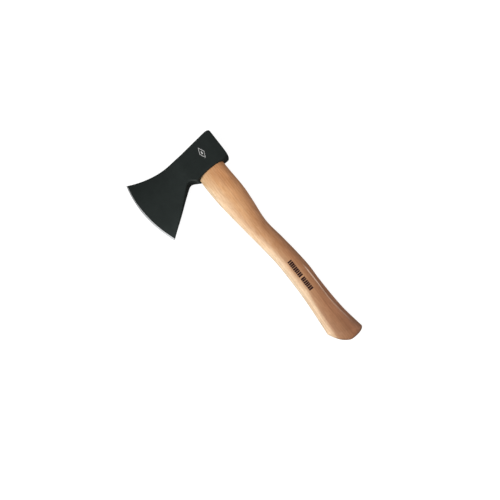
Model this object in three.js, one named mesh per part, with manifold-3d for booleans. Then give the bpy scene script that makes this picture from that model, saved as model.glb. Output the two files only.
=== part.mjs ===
// A one-hand hatchet: a forged steel head wedged onto a curved hickory handle.
//
// It lies on its side with +Z up. The cutting edge faces -X, the poll faces +X, the top of the head
// faces +Y and the handle runs towards -Y. Every piece is drawn about the middle of the eye at the
// level of the head's lower face, and the last step moves the origin to the middle of the bounding
// box's floor. All lengths are in millimetres.

import * as THREE from 'three';
import Module from 'manifold-3d';
import { mergeVertices } from 'three/addons/utils/BufferGeometryUtils.js';

const wasm = await Module();
wasm.setup();

const FIT_GAP = 0.3; // left between each piece and the one it is pressed into

// Head, seen from the side
const TOE = { x: -110.4, y: 62.3 }; // upper corner of the cutting edge
const HEEL = { x: -101.5, y: -45 }; // lower corner of the cutting edge
const EDGE_BULGE = 8.6; // how far the curved edge stands out from the line between its corners
const BLADE_ROOT_X = -74; // where sections stop following the edge's curve
const TOP_HEIGHT = 46.2; // top of the head over the middle of the eye
const TOP_SLOPE = 0.108; // the top rises towards the poll
const SWEEP_START_X = -19; // where the top leaves that slope and sweeps up to the toe
const BEARD_SLOPE = 0.8; // underside from the heel up to the throat
const BEARD_BULGE = 0.8; // how far it bows out on the way
const LUG_X = -22.5; // tip of the lug under the front of the eye
const LUG_SLOPE = -0.6; // underside from the throat down to that tip
const THROAT_RADIUS = 8;
const FOOT_SLOPE = 0.04; // the lower face rises a little towards the poll
const ARCH_HALF_LENGTH = 22.5; // the cheeks are arched between the lug and the poll
const ARCH_RISE = 2.3;
const POLL_X = 33.15;
const POLL_TOP_ROUND = { along: 7.5, depth: 4 };
const POLL_BOTTOM_ROUND = { along: 5.5, depth: 13 };
const POLL_SIDE_ROUND = { along: 2.5, depth: 2.5 };
const HEAD_CORNER = 1.8; // rounding between the cheeks and the narrow faces
const CORNER_LIMIT = 0.8; // share of the half-thickness which that rounding may take

// Head, half-thickness against the distance along it
const CHEEK = 13.8; // half the thickness over the eye, where the sides are flat
const HALF_THICKNESS = [
  [-114.3, 0.3],
  [-110.6, 1.1],
  [-98, 2.1],
  [-84, 3],
  [-70, 4.3],
  [-56, 6.5],
  [-45, 9.6],
  [-36, 12.4],
  [-28, CHEEK],
  [20, CHEEK],
  [30, 12.9],
  [33.2, 12.5],
];

// Eye: an oval hole that opens a little towards the top
const EYE_SQUARENESS = 2.4;
const EYE_BOTTOM = { halfLength: 21.4, halfWidth: 9.6 };
const EYE_TOP = { halfLength: 21, halfWidth: 10.6 };
const EYE_OVERSHOOT = 14; // how far the cutter runs past the head at each end

// Handle, seen from the side: the belly faces the blade's side and the back faces the poll's
const BELLY = [
  [0, -21.1],
  [-10, -21.6],
  [-30, -21.2],
  [-52, -19.7],
  [-95, -14.7],
  [-137, -9.6],
  [-165, -7.1],
  [-207, -6.8],
  [-240, -8.4],
  [-279.3, -11.6],
];
const BACK = [
  [0, 21.1],
  [-10, 21.2],
  [-45, 22.4],
  [-67, 21],
  [-102, 17.9],
  [-137, 21.9],
  [-165, 24.9],
  [-193, 26.6],
  [-212, 26],
  [-240, 26.3],
  [-262, 27.5],
  [-276, 29.2],
  [-297.4, 32.6],
];
const HANDLE_HALF_WIDTH = [
  [0, EYE_BOTTOM.halfWidth - FIT_GAP],
  [-10, 10.4],
  [-50, 11],
  [-102, 10.6],
  [-150, 11.5],
  [-193, 12.2],
  [-240, 12],
  [-276, 13.1],
  [-299, 13.6],
];
const HANDLE_SQUARENESS = 2.3;
const KNOB_START_Y = -240; // below this the sections lean over to meet the slanted end
const KNOB_TIP = { x: 10.6, y: -304.3 };
const KNOB_BELLY_BEND = { x: -3.4, y: -299 };
const KNOB_BACK_BEND = { x: 30.5, y: -304.6 };
const KNOB_END_FULLNESS = 0.35; // 1 makes the end a plain dome, 0 a flat cut

// Wedges: half-thicknesses at the top of the head and at the thin end
const WOOD_WEDGE = { top: 3.4, tip: 0.8, tipY: 12 };
const STEEL_WEDGE = { top: 1.7, tip: 0.5, tipY: 24, halfWidth: 9.5, turn: Math.PI / 4 };
const WEDGE_REACH = 30; // how far a wedge's block runs past the eye before it is trimmed

// How finely curved surfaces are divided
const HANDLE_SIDES = 26;
const EYE_SIDES = 32;
const CORNER_STEPS = 2;
const CHEEK_STEPS = 8;
const BIT_STATIONS = [0, 0.12, 0.3, 0.5, 0.75, 1];
const BODY_STATIONS = [
  -64, -56, -50, -46, -43, -40, -37, -34, -31, -28, -25.5, LUG_X, -18, -12, -6, 0, 6, 12, 18,
  ARCH_HALF_LENGTH, 25.5, 28, 30, 31.5, 32.5, 32.98, POLL_X,
];
const TONGUE_RINGS = 5;
const SHAFT_YS = [
  -5, -10, -20, -32, -45, -56, -67, -79, -91, -102, -114, -126, -137, -151, -165, -179, -193,
  -203, -212, -226,
];
const KNOB_RINGS = 6;
const KNOB_END_STEPS = [0.12, 0.28, 0.46, 0.66, 0.86];

/** A smooth curve through [position, value] knots. It stays level where they turn or run flat. */
function curveThrough(knots) {
  const sorted = [...knots].sort((a, b) => a[0] - b[0]);
  const gradient = (i) => (sorted[i + 1][1] - sorted[i][1]) / (sorted[i + 1][0] - sorted[i][0]);
  const last = sorted.length - 1;
  const slopes = sorted.map((knot, i) => {
    if (i === 0) return gradient(0);
    if (i === last) return gradient(last - 1);
    const before = gradient(i - 1);
    const after = gradient(i);
    if (before * after <= 0) return 0;
    return (sorted[i + 1][1] - sorted[i - 1][1]) / (sorted[i + 1][0] - sorted[i - 1][0]);
  });
  return (position) => {
    const at = THREE.MathUtils.clamp(position, sorted[0][0], sorted[last][0]);
    let i = 0;
    while (i < last - 1 && at > sorted[i + 1][0]) i += 1;
    const span = sorted[i + 1][0] - sorted[i][0];
    const t = (at - sorted[i][0]) / span;
    const startValue = sorted[i][1] * (1 + 2 * t) * (1 - t) ** 2;
    const startSlope = slopes[i] * span * t * (1 - t) ** 2;
    const endValue = sorted[i + 1][1] * t ** 2 * (3 - 2 * t);
    const endSlope = slopes[i + 1] * span * t ** 2 * (t - 1);
    return startValue + startSlope + endValue + endSlope;
  };
}

/** How far a rounded corner has dropped at x, for a corner that ends at x = end. */
function roundedDrop(x, end, { along, depth }) {
  const t = THREE.MathUtils.clamp((x - (end - along)) / along, 0, 1);
  return depth * (1 - Math.sqrt(1 - t * t));
}

/** Upper outline of the head: a straight slope, then an arc that is tangent to it. */
function headTop(x) {
  const slope = (at) => TOP_HEIGHT + TOP_SLOPE * at;
  if (x >= SWEEP_START_X) return slope(x) - roundedDrop(x, POLL_X, POLL_TOP_ROUND);
  const start = new THREE.Vector2(SWEEP_START_X, slope(SWEEP_START_X));
  const normal = new THREE.Vector2(-TOP_SLOPE, 1).normalize();
  const toToe = new THREE.Vector2(TOE.x, TOE.y).sub(start);
  const radius = toToe.lengthSq() / (2 * normal.dot(toToe));
  const centre = start.addScaledVector(normal, radius);
  return centre.y - Math.sqrt(radius ** 2 - (x - centre.x) ** 2);
}

/** Lower outline of the head: beard, throat fillet, lug, arch and the poll's lower corner. */
function headBottom(x) {
  if (x >= LUG_X) {
    const arch = Math.max(0, ARCH_RISE * (1 - Math.abs(x / ARCH_HALF_LENGTH) ** 3));
    return FOOT_SLOPE * x + arch + roundedDrop(x, POLL_X, POLL_BOTTOM_ROUND);
  }
  const beardStretch = Math.hypot(1, BEARD_SLOPE);
  const lugStretch = Math.hypot(1, LUG_SLOPE);
  const beardAtZero = HEEL.y - BEARD_SLOPE * HEEL.x;
  const lugAtZero = (FOOT_SLOPE - LUG_SLOPE) * LUG_X;
  const offset = THROAT_RADIUS * (beardStretch - lugStretch);
  const centreX = (lugAtZero - beardAtZero + offset) / (BEARD_SLOPE - LUG_SLOPE);
  const centreY = beardAtZero + BEARD_SLOPE * centreX - THROAT_RADIUS * beardStretch;
  const throatStart = centreX - (THROAT_RADIUS * BEARD_SLOPE) / beardStretch;
  if (x < throatStart) {
    const share = (x - HEEL.x) / (throatStart - HEEL.x);
    return beardAtZero + BEARD_SLOPE * x - BEARD_BULGE * Math.sin(Math.PI * share) ** 2;
  }
  if (x > centreX - (THROAT_RADIUS * LUG_SLOPE) / lugStretch) return lugAtZero + LUG_SLOPE * x;
  return centreY + Math.sqrt(THROAT_RADIUS ** 2 - (x - centreX) ** 2);
}

/** A closed body through rings of points, with each end closed by a fan. */
function loft(rings) {
  const sides = rings[0].length;
  const positions = [];
  const indices = [];
  for (const ring of rings) {
    for (const point of ring) positions.push(...point.toArray());
  }
  for (let r = 0; r < rings.length - 1; r += 1) {
    for (let k = 0; k < sides; k += 1) {
      const here = r * sides + k;
      const beside = r * sides + ((k + 1) % sides);
      indices.push(here, beside, here + sides, beside, beside + sides, here + sides);
    }
  }
  const closeEnd = (ring, first, flip) => {
    const middle = ring.reduce((sum, point) => sum.add(point), new THREE.Vector3());
    const centre = positions.length / 3;
    positions.push(...middle.divideScalar(sides).toArray());
    for (let k = 0; k < sides; k += 1) {
      const pair = [first + k, first + ((k + 1) % sides)];
      if (flip) pair.reverse();
      indices.push(centre, ...pair);
    }
  };
  closeEnd(rings[0], 0, true);
  closeEnd(rings.at(-1), (rings.length - 1) * sides, false);
  const geometry = new THREE.BufferGeometry();
  geometry.setAttribute('position', new THREE.Float32BufferAttribute(positions, 3));
  geometry.setIndex(indices);
  return geometry;
}

/** A closed geometry as a solid that can be cut and joined. */
function solid(geometry) {
  const bare = geometry.clone();
  bare.deleteAttribute('normal');
  bare.deleteAttribute('uv');
  const merged = mergeVertices(bare);
  const mesh = new wasm.Mesh({
    numProp: 3,
    vertProperties: merged.attributes.position.array,
    triVerts: Uint32Array.from(merged.index.array),
  });
  return new wasm.Manifold(mesh);
}

function geometryOf(manifold) {
  const mesh = manifold.getMesh();
  const geometry = new THREE.BufferGeometry();
  geometry.setAttribute('position', new THREE.Float32BufferAttribute(mesh.vertProperties, 3));
  geometry.setIndex([...mesh.triVerts]);
  return geometry;
}

/** One section of the head, a rounded rectangle bowed forward by `bow` at mid-height. */
function headSection(topX, bottomX, bow) {
  const top = headTop(topX);
  const bottom = headBottom(bottomX);
  const middleX = (topX + bottomX) / 2 - bow;
  const sideRound = roundedDrop(middleX, POLL_X, POLL_SIDE_ROUND);
  const half = halfThickness(middleX) - sideRound;
  const corner = Math.min(HEAD_CORNER, half * CORNER_LIMIT);
  const outline = [];
  const addCorner = (y, z, startAngle) => {
    for (let k = 0; k <= CORNER_STEPS; k += 1) {
      const angle = startAngle + (Math.PI / 2) * (k / CORNER_STEPS);
      outline.push([y + corner * Math.sin(angle), z + corner * Math.cos(angle)]);
    }
  };
  const addSide = (fromY, toY, z) => {
    for (let k = 1; k < CHEEK_STEPS; k += 1) {
      outline.push([THREE.MathUtils.lerp(fromY, toY, k / CHEEK_STEPS), z]);
    }
  };
  const inner = half - corner;
  addSide(bottom + corner, top - corner, half);
  addCorner(top - corner, inner, 0);
  addCorner(top - corner, -inner, Math.PI / 2);
  addSide(top - corner, bottom + corner, -half);
  addCorner(bottom + corner, -inner, Math.PI);
  addCorner(bottom + corner, inner, (Math.PI * 3) / 2);
  return outline.map(([y, z]) => {
    const height = (y - bottom) / (top - bottom);
    const x = THREE.MathUtils.lerp(bottomX, topX, height) - 4 * bow * height * (1 - height);
    return new THREE.Vector3(x, y, z);
  });
}

/** One oval of the handle between a belly point and a back point, half of it to each side. */
function oval(belly, back, halfWidth, squareness, sides) {
  const middle = new THREE.Vector2().addVectors(belly, back).multiplyScalar(0.5);
  const toBack = back.clone().sub(middle);
  const power = 2 / squareness;
  const ring = [];
  for (let k = 0; k < sides; k += 1) {
    const angle = (2 * Math.PI * k) / sides;
    const along = Math.sign(Math.cos(angle)) * Math.abs(Math.cos(angle)) ** power;
    const across = Math.sign(Math.sin(angle)) * Math.abs(Math.sin(angle)) ** power;
    const point = middle.clone().addScaledVector(toBack, along);
    ring.push(new THREE.Vector3(point.x, point.y, halfWidth * across));
  }
  return ring;
}

/** Half the eye's length and width at a share of the head's height, less `gap` all round. */
function eyeSize(share, gap) {
  return {
    halfLength: THREE.MathUtils.lerp(EYE_BOTTOM.halfLength, EYE_TOP.halfLength, share) - gap,
    halfWidth: THREE.MathUtils.lerp(EYE_BOTTOM.halfWidth, EYE_TOP.halfWidth, share) - gap,
  };
}

/** One level section of the eye. */
function eyeRing(y) {
  const { halfLength, halfWidth } = eyeSize(y / TOP_HEIGHT, 0);
  const front = new THREE.Vector2(-halfLength, y);
  const back = new THREE.Vector2(halfLength, y);
  return oval(front, back, halfWidth, EYE_SQUARENESS, EYE_SIDES);
}

/** What fills the eye, from flush with the sloping top of the head down to its lower face. */
function tongueRings(sides) {
  const rings = [];
  for (let k = 0; k <= TONGUE_RINGS; k += 1) {
    const share = 1 - k / TONGUE_RINGS;
    const { halfLength, halfWidth } = eyeSize(share, FIT_GAP);
    const front = new THREE.Vector2(-halfLength, share * headTop(-halfLength));
    const back = new THREE.Vector2(halfLength, share * headTop(halfLength));
    rings.push(oval(front, back, halfWidth, EYE_SQUARENESS, sides));
  }
  return rings;
}

function handleSurface() {
  const bellyX = curveThrough(BELLY);
  const backX = curveThrough(BACK);
  const halfWidth = curveThrough(HANDLE_HALF_WIDTH);
  const section = (bellyY, backY) => {
    const belly = new THREE.Vector2(bellyX(bellyY), bellyY);
    const back = new THREE.Vector2(backX(backY), backY);
    const width = halfWidth((bellyY + backY) / 2);
    return oval(belly, back, width, HANDLE_SQUARENESS, HANDLE_SIDES);
  };
  const rings = tongueRings(HANDLE_SIDES);
  for (const y of SHAFT_YS) rings.push(section(y, y));
  const bellyEndY = BELLY.at(-1)[0];
  const backEndY = BACK.at(-1)[0];
  for (let k = 0; k <= KNOB_RINGS; k += 1) {
    const share = k / KNOB_RINGS;
    const bellyY = THREE.MathUtils.lerp(KNOB_START_Y, bellyEndY, share);
    rings.push(section(bellyY, THREE.MathUtils.lerp(KNOB_START_Y, backEndY, share)));
  }
  return loft([...rings, ...knobEndRings(bellyX(bellyEndY), backX(backEndY))]);
}

/** Shrinking ovals that close the knob. Their ends follow its slanted outline. */
function knobEndRings(bellyCornerX, backCornerX) {
  const point = ({ x, y }) => new THREE.Vector2(x, y);
  const bellyCorner = new THREE.Vector2(bellyCornerX, BELLY.at(-1)[0]);
  const backCorner = new THREE.Vector2(backCornerX, BACK.at(-1)[0]);
  const tip = point(KNOB_TIP);
  const bellyPath = new THREE.QuadraticBezierCurve(bellyCorner, point(KNOB_BELLY_BEND), tip);
  const backPath = new THREE.QuadraticBezierCurve(backCorner, point(KNOB_BACK_BEND), tip);
  const fullLength = bellyCorner.distanceTo(backCorner);
  const fullWidth = HANDLE_HALF_WIDTH.at(-1)[1];
  return KNOB_END_STEPS.map((step) => {
    const belly = bellyPath.getPoint(step);
    const back = backPath.getPoint(step);
    const width = fullWidth * (belly.distanceTo(back) / fullLength) ** KNOB_END_FULLNESS;
    return oval(belly, back, width, HANDLE_SQUARENESS, HANDLE_SIDES);
  });
}

/** A tapered block, thick end up, standing in the eye. `grow` makes it larger all round. */
function wedgeBlock({ top, tip, tipY, turn = 0 }, halfWidth, grow) {
  const taper = (top - tip) / (TOP_HEIGHT - tipY);
  const highY = TOP_HEIGHT + WEDGE_REACH;
  const lowY = tipY - grow;
  const halfAt = (y) => tip + taper * (y - tipY) + grow;
  const face = new THREE.Shape([
    new THREE.Vector2(-halfAt(lowY), lowY),
    new THREE.Vector2(halfAt(lowY), lowY),
    new THREE.Vector2(halfAt(highY), highY),
    new THREE.Vector2(-halfAt(highY), highY),
  ]);
  const depth = 2 * (halfWidth + grow);
  const block = new THREE.ExtrudeGeometry(face, { depth, bevelEnabled: false });
  block.translate(0, 0, -depth / 2);
  block.rotateY(Math.PI / 2 + turn);
  return solid(block);
}

function axeHead() {
  const rings = BIT_STATIONS.map((share) => {
    const topX = THREE.MathUtils.lerp(TOE.x, BLADE_ROOT_X, share);
    const bottomX = THREE.MathUtils.lerp(HEEL.x, BLADE_ROOT_X, share);
    return headSection(topX, bottomX, EDGE_BULGE * (1 - share ** 2));
  });
  for (const x of BODY_STATIONS) rings.push(headSection(x, x, 0));
  const eye = loft([eyeRing(TOP_HEIGHT + EYE_OVERSHOOT), eyeRing(-EYE_OVERSHOOT)]);
  rings.reverse(); // from the poll forward, so that the faces point out
  return solid(loft(rings)).subtract(solid(eye));
}

function handle() {
  const kerf = wedgeBlock(WOOD_WEDGE, WEDGE_REACH, FIT_GAP);
  const slot = wedgeBlock(STEEL_WEDGE, STEEL_WEDGE.halfWidth, FIT_GAP);
  return solid(handleSurface()).subtract(kerf).subtract(slot);
}

function woodWedge() {
  const block = wedgeBlock(WOOD_WEDGE, WEDGE_REACH, 0);
  const slot = wedgeBlock(STEEL_WEDGE, STEEL_WEDGE.halfWidth, FIT_GAP);
  return block.intersect(solid(loft(tongueRings(EYE_SIDES)))).subtract(slot);
}

function steelWedge() {
  const block = wedgeBlock(STEEL_WEDGE, STEEL_WEDGE.halfWidth, 0);
  return block.intersect(solid(loft(tongueRings(EYE_SIDES))));
}

function piece(name, manifold, color, roughness, metalness) {
  const material = new THREE.MeshStandardMaterial({ color, roughness, metalness });
  const mesh = new THREE.Mesh(geometryOf(manifold), material);
  mesh.geometry.computeVertexNormals();
  mesh.name = name;
  return mesh;
}

const halfThickness = curveThrough(HALF_THICKNESS);

const hatchet = new THREE.Group();
hatchet.add(piece('axe_head', axeHead(), 0x272b2a, 0.5, 0.2));
hatchet.add(piece('handle', handle(), 0xcf9b73, 0.45, 0));
hatchet.add(piece('wood_wedge', woodWedge(), 0xdcb98a, 0.6, 0));
hatchet.add(piece('steel_wedge', steelWedge(), 0x8d9092, 0.4, 1));

const box = new THREE.Box3().setFromObject(hatchet);
const middle = box.getCenter(new THREE.Vector3());
hatchet.position.set(-middle.x, -middle.y, -box.min.z);

export default hatchet;
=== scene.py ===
"""A one-hand hatchet lying on its side: lacquered steel head, curved varnished handle, two wedges.

Shapes are drawn in millimetres about the middle of the eye at the level of the head's lower face,
with x towards the poll, y towards the top of the head and z up, and moved to the row frame at the
end. The outlines are the CAD part's own, drawn again with finer steps.
"""

import math

import bmesh
import bpy
from mathutils import Matrix, Vector


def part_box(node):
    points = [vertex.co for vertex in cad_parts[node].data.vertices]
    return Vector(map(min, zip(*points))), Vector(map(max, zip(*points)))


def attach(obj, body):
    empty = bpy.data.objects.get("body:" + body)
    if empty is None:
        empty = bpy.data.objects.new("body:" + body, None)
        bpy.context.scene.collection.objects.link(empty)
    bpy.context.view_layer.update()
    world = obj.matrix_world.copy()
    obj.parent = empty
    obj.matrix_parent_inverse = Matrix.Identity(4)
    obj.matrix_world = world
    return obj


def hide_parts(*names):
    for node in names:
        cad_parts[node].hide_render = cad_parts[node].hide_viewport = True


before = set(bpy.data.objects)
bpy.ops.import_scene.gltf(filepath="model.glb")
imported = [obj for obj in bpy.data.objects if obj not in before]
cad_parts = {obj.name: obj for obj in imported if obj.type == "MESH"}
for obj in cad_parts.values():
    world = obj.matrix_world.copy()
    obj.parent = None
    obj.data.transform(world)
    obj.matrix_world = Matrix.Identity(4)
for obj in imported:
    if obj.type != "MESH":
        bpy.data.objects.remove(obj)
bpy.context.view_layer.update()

# ---------------------------------------------------------------- dimensions, mm

FIT_GAP = 0.3

TOE = (-110.4, 62.3)
HEEL = (-101.5, -45)
EDGE_BULGE = 8.59  # a hair less than the CAD part's, so that the finer edge stays in its box
BLADE_ROOT_X = -74
TOP_HEIGHT = 46.2
TOP_SLOPE = 0.108
SWEEP_START_X = -19  # where the top leaves its straight line and sweeps up to the toe
BEARD_SLOPE = 0.8
BEARD_BULGE = 0.8  # how far the underside of the beard bows down
LUG_X = -22.5
LUG_SLOPE = -0.6
# the line along the lug's rounded edge where a highlight is painted
LUG_GLINT_START, LUG_GLINT_END = Vector((-33, 8.4)), Vector((-25, 1.8))
THROAT_RADIUS = 8
FOOT_SLOPE = 0.04
ARCH_HALF_LENGTH = 22.5
ARCH_RISE = 2.3
POLL_X = 33.15
POLL_TOP_ROUND = (7.5, 4)  # along x, depth
POLL_BOTTOM_ROUND = (5.5, 13)
POLL_SIDE_ROUND = (2.5, 2.5)
HEAD_CORNER = 1.8
CORNER_LIMIT = 0.8  # most that a corner takes of the half-thickness

CHEEK = 13.8  # half the thickness over the eye
# (x, half the head's thickness)
HALF_THICKNESS = [
    (-114.3, 0.3), (-110.6, 1.1), (-98, 2.1), (-84, 3), (-70, 4.3), (-56, 6.5), (-45, 9.6),
    (-36, 12.4), (-28, CHEEK), (20, CHEEK), (30, 12.9), (33, 12.5),
]

PRINT_RELIEF = 0.04  # how far the printed marks stand out of the surface
CHEEK_MARK_DEPTH = 0.2  # thickness of their plates, mostly sunk in
GRIP_MARK_DEPTH = 0.25

EDGE_HALF = 0.14  # half the thickness of the cutting edge itself
BEVEL_SHARE = 0.074  # widest ground bevel, as a share of the way to the blade's root
# the bevel's width in parts of that, against the height from heel to toe
BEVEL_WIDTH = [(0, 0.9), (0.15, 1), (0.5, 0.94), (0.75, 0.66), (1, 0.58)]
HONED_WIDTH = 0.24  # share of the bevel next to the edge that is honed steeper
HONED_RISE = 0.42  # share of the bevel's thickness that it takes

# brightness of the lacquer, as a share of its material's colour, with painted shade on the blade's upper
# part and painted light towards the heel
BODY_TONE = 0.625
BLADE_TOP_PAINTED_SHADE = 0.41
HEEL_PAINTED_LIGHT = 0.28

EYE_SQUARENESS = 2.4
EYE_BOTTOM = (21.4, 9.6)  # half-length, half-width
EYE_TOP = (21, 10.6)
EYE_OVERSHOOT = 14
EYE_LIP = 0.3  # rounding of the eye's rims

# (y, x) down the handle's front and back, and (y, half its width)
BELLY = [
    (0, -21.1), (-10, -21.6), (-30, -21.2), (-52, -19.7), (-95, -14.7), (-137, -9.6),
    (-165, -7.1), (-207, -6.8), (-240, -8.4), (-279.3, -11.6),
]
BACK = [
    (0, 21.1), (-10, 21.2), (-45, 22.4), (-67, 21), (-102, 17.9), (-137, 21.9), (-165, 24.9),
    (-193, 26.6), (-212, 26), (-240, 26.3), (-262, 27.5), (-276, 29.2), (-297.4, 32.6),
]
HANDLE_HALF_WIDTH = [
    (0, EYE_BOTTOM[1] - FIT_GAP), (-10, 10.4), (-50, 11), (-102, 10.6), (-150, 11.5),
    (-193, 12.2), (-240, 12), (-276, 13.1), (-299, 13.6),
]
# exponent of the handle's sections: near 2 they are ovals, and higher ones are squarer
HANDLE_SQUARENESS = [
    (50, 2.4), (0, 2.3), (-60, 2.2), (-140, 2.3), (-200, 2.6), (-260, 2.9), (-300, 2.7),
]
HANDLE_LENGTH = 300  # from the head to the knob, roughly
KNOB_START_Y = -240
KNOB_TIP = (10.6, -304.2)
KNOB_BELLY_BEND = (-3.4, -299)
KNOB_BACK_BEND = (30.5, -304.5)
KNOB_END_FULLNESS = 0.35  # the lower, the longer the knob stays thick

# A crisp ridge runs down each side of the lower grip, a little in from the back.
RIDGE = [(-150, 19.5), (-187, 21.1), (-213, 21.4), (-237, 20.9), (-260, 22.4), (-297, 27.5)]
RIDGE_FADE_IN = (-176, -196)  # the ridge appears between these y
RIDGE_FADE_OUT = (-265, -294)
FACET_END = 0.985  # where the flat behind the ridge meets the oval again
FACET_SHADE_START = (0.5, 1.4)  # mm behind the ridge, where the painted shade on the flat, darker and redder, begins and ends
FACET_SHADE_END = (2.4, 4)
RIDGE_HIGHLIGHT_START = (-181, -193)  # the painted highlight on the ridge starts between these y
RIDGE_HIGHLIGHT_DROP = (-212, -230)  # and the painted highlight drops to its low share between these
RIDGE_HIGHLIGHT_LOW = 0.42

# how much wider the pale belly band, pale wood and painted light, is than usual, as a share of the
# handle's depth
PALE_WOOD_AND_LIGHT_BAND = [
    (50, 0), (-130, 0), (-170, 0.025), (-202, 0.07), (-238, 0), (-268, -0.02), (-310, -0.02),
]

WOOD_WEDGE = (3.4, 0.8, 12)  # half-thickness at the top and at the thin end, height of that end
STEEL_WEDGE = (1.7, 0.5, 24)
STEEL_WEDGE_HALF_WIDTH = 9.5
STEEL_WEDGE_TURN = math.pi / 4
WEDGE_REACH = 30

EYE_SIDES = 96
HANDLE_SIDES = 48  # on each half of a section, from the belly to the back
RIDGE_SIDE = 36  # which of them runs along the ridge
SQUARE = ((-1, -1), (1, -1), (1, 1), (-1, 1))


# ---------------------------------------------------------------- small helpers


def lerp(a, b, share):
    return a + (b - a) * share


def clamp(value, low=0.0, high=1.0):
    return max(low, min(high, value))


def smooth_step(start, end, value):
    share = clamp((value - start) / (end - start))
    return share * share * (3 - 2 * share)


def curve_through(knots):
    """A smooth curve through (position, value) knots, level where they turn or run flat."""
    points = sorted(knots)
    last = len(points) - 1

    def gradient(i):
        return (points[i + 1][1] - points[i][1]) / (points[i + 1][0] - points[i][0])

    slopes = [gradient(0)]
    for i in range(1, last):
        if gradient(i - 1) * gradient(i) <= 0:
            slopes.append(0.0)
        else:
            rise = points[i + 1][1] - points[i - 1][1]
            slopes.append(rise / (points[i + 1][0] - points[i - 1][0]))
    slopes.append(gradient(last - 1))

    def value_at(position):
        at = clamp(position, points[0][0], points[last][0])
        i = 0
        while i < last - 1 and at > points[i + 1][0]:
            i += 1
        span = points[i + 1][0] - points[i][0]
        t = (at - points[i][0]) / span
        start = points[i][1] * (1 + 2 * t) * (1 - t) ** 2
        start += slopes[i] * span * t * (1 - t) ** 2
        end = points[i + 1][1] * t**2 * (3 - 2 * t)
        end += slopes[i + 1] * span * t**2 * (t - 1)
        return start + end

    return value_at


def steps(start, end, count):
    return [lerp(start, end, k / count) for k in range(count + 1)]


half_thickness = curve_through(HALF_THICKNESS)
belly_x = curve_through(BELLY)
back_x = curve_through(BACK)
handle_half_width = curve_through(HANDLE_HALF_WIDTH)
ridge_x = curve_through(RIDGE)
pale_wood_and_light_band = curve_through(PALE_WOOD_AND_LIGHT_BAND)
handle_squareness = curve_through(HANDLE_SQUARENESS)

head_low, head_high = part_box("axe_head")
SHIFT = Vector((
    head_high.x * 1000 - POLL_X,
    head_high.y * 1000 - TOE[1],
    (head_low.z + head_high.z) * 500,
))


def to_row(point):
    """From the drawing frame in mm to the row frame in metres."""
    return (Vector(point) + SHIFT) * 0.001


# ---------------------------------------------------------------- mesh helpers


def loft_mesh(name, rings):
    """A closed mesh through rings of points, with each end closed by a fan."""
    sides = len(rings[0])
    points = [to_row(p) for ring in rings for p in ring]
    faces = []
    for r in range(len(rings) - 1):
        for k in range(sides):
            here, beside = r * sides + k, r * sides + (k + 1) % sides
            faces.append((here, beside, beside + sides, here + sides))
    for first, flip in ((0, True), ((len(rings) - 1) * sides, False)):
        ring = points[first:first + sides]
        points.append(sum(ring, Vector()) / sides)
        centre = len(points) - 1
        for k in range(sides):
            pair = (first + k, first + (k + 1) % sides)
            faces.append((centre, *(reversed(pair) if flip else pair)))
    mesh = bpy.data.meshes.new(name)
    mesh.from_pydata(points, [], faces)
    return facing_out(mesh)


def facing_out(mesh):
    bm = bmesh.new()
    bm.from_mesh(mesh)
    bmesh.ops.recalc_face_normals(bm, faces=bm.faces)
    bm.to_mesh(mesh)
    bm.free()
    return mesh


def block_mesh(name, corners):
    """A block from its eight corners: four below in order, then the four above them."""
    faces = [(0, 1, 2, 3), (4, 5, 6, 7), (0, 1, 5, 4), (1, 2, 6, 5), (2, 3, 7, 6), (3, 0, 4, 7)]
    mesh = bpy.data.meshes.new(name)
    mesh.from_pydata([to_row(c) for c in corners], [], faces)
    return facing_out(mesh)


def new_object(name, mesh):
    obj = bpy.data.objects.new(name, mesh)
    bpy.context.scene.collection.objects.link(obj)
    return obj


def freeze(obj):
    """Replaces the object's mesh by what its modifiers make of it."""
    graph = bpy.context.evaluated_depsgraph_get()
    made = bpy.data.meshes.new_from_object(obj.evaluated_get(graph), depsgraph=graph)
    made.name = obj.name
    obj.modifiers.clear()
    obj.data = made


def combine(obj, cutter_mesh, operation):
    """Cuts obj with the mesh, or keeps only what is inside it."""
    cutter = new_object("cutter", cutter_mesh)
    change = obj.modifiers.new("combine", "BOOLEAN")
    change.object = cutter
    change.operation = operation
    change.solver = "EXACT"
    freeze(obj)
    bpy.data.objects.remove(cutter)


def round_edges(obj, width_mm, angle_deg):
    bevel = obj.modifiers.new("bevel", "BEVEL")
    bevel.width = width_mm * 0.001
    bevel.segments = 2
    bevel.limit_method = "ANGLE"
    bevel.angle_limit = math.radians(angle_deg)
    freeze(obj)


def shade(obj, sharp_deg):
    """Smooth shading, broken at edges sharper than the angle and led by the larger faces."""
    obj.data.shade_smooth()
    obj.data.set_sharp_from_angle(angle=math.radians(sharp_deg))
    weights = obj.modifiers.new("normals", "WEIGHTED_NORMAL")
    weights.keep_sharp = True
    weights.weight = 60


def float_attribute(obj, name, value_of):
    """Stores value_of(point in mm) on every vertex."""
    attribute = obj.data.attributes.new(name, "FLOAT", "POINT")
    for vertex in obj.data.vertices:
        attribute.data[vertex.index].value = value_of(vertex.co * 1000 - SHIFT)


def declare(obj, node, material):
    obj.data.materials.clear()
    obj.data.materials.append(material)
    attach(obj, "root")
    if node:
        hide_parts(node)


# ---------------------------------------------------------------- the head's outlines


def rounded_drop(x, end, size):
    """How far a line has dropped at x, in a quarter of an ellipse that ends at `end`."""
    along, depth = size
    t = clamp((x - (end - along)) / along)
    return depth * (1 - math.sqrt(1 - t * t))


def head_top(x):
    """A straight slope from the poll, then an arc that sweeps up to the toe."""
    slope = TOP_HEIGHT + TOP_SLOPE * x
    if x >= SWEEP_START_X:
        return slope - rounded_drop(x, POLL_X, POLL_TOP_ROUND)
    start = Vector((SWEEP_START_X, TOP_HEIGHT + TOP_SLOPE * SWEEP_START_X))
    normal = Vector((-TOP_SLOPE, 1)).normalized()
    to_toe = Vector(TOE) - start
    radius = to_toe.length_squared / (2 * normal.dot(to_toe))
    centre = start + normal * radius
    return centre.y - math.sqrt(radius**2 - (x - centre.x) ** 2)


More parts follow.
